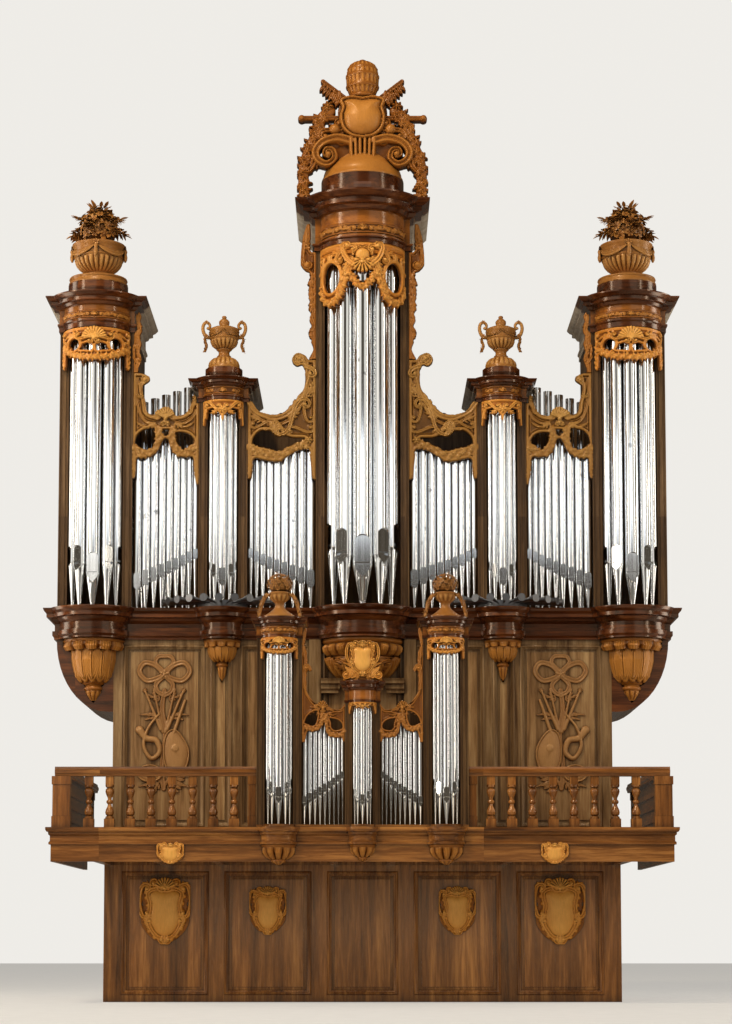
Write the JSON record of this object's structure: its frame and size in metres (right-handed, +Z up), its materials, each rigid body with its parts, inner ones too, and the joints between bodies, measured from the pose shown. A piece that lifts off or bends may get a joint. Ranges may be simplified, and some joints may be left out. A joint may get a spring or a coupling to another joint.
{
  "type": "church pipe organ with a gallery and a small organ in its front",
  "caption": "A church pipe organ in a towered oak case with carved crests, on a panelled base with a balustraded gallery that carries a smaller organ case.",
  "frame": {"origin": "the middle of the footprint of the whole object, at floor level", "axes": "+Z up, +X to the right of someone facing the organ, +Y from the gallery front to the back of the case"},
  "size_m": [10.18, 4.5998, 15.1959],
  "materials": {
    "case_oak": "dark waxed oak of cornices and friezes",
    "post_oak": "greyed old oak of posts and side boards",
    "panel_wood": "grey-brown panelled oak of the lower case",
    "gallery_wood": "warm varnished walnut of the gallery and base",
    "carving": "golden waxed limewood carving",
    "urn_wood": "pale honey limewood of urns and pedestals",
    "pipe_tin": "polished tin of the front pipes",
    "trumpet_metal": "dark lead-grey metal of the horizontal trumpets"
  },
  "bodies": {
    "root": {"base_frame": "gallery_wood", "base_panels": "gallery_wood", "base_cartouches": "carving", "base_walls": "gallery_wood", "gallery_joists": "gallery_wood", "gallery_deck": "gallery_wood", "gallery_fascia": "gallery_wood", "gallery_cartouches": "carving", "balusters_left": "gallery_wood", "balusters_right": "gallery_wood", "handrail": "gallery_wood", "newel_posts": "gallery_wood", "side_rails": "gallery_wood", "positif_plinth": "gallery_wood", "positif_corbels": "carving", "positif_posts": "post_oak", "positif_walls": "post_oak", "positif_entablatures": "case_oak", "positif_turret_top": "case_oak", "positif_pelmets": "carving", "positif_crests": "carving", "positif_tower_pipes": "pipe_tin", "positif_flat_pipes": "pipe_tin", "positif_urns": "urn_wood", "positif_cartouche": "carving", "lower_frame": "panel_wood", "lower_panels": "panel_wood", "lower_walls": "panel_wood", "console_lintel": "panel_wood", "side_brackets": "case_oak", "impost": "case_oak", "culots": "carving", "case_posts": "post_oak", "case_back": "post_oak", "case_sides": "post_oak", "centre_entablature": "case_oak", "outer_entablatures": "case_oak", "inner_entablatures": "case_oak", "centre_pelmet": "carving", "outer_pelmets": "carving", "inner_pelmets": "carving", "outer_flat_crests": "carving", "inner_flat_crests": "carving", "centre_wings": "carving", "outer_wings": "carving", "centre_tower_pipes": "pipe_tin", "outer_tower_pipes": "pipe_tin", "inner_tower_pipes": "pipe_tin", "outer_flat_pipes": "pipe_tin", "inner_flat_pipes": "pipe_tin", "inner_case_pipes": "pipe_tin", "trumpets": "trumpet_metal", "outer_urns": "urn_wood", "urn_flowers": "urn_wood", "inner_urns": "urn_wood", "crest_scrolls": "carving", "crest_shield": "carving", "crest_cap": "carving"}
  },
  "joints": []
}
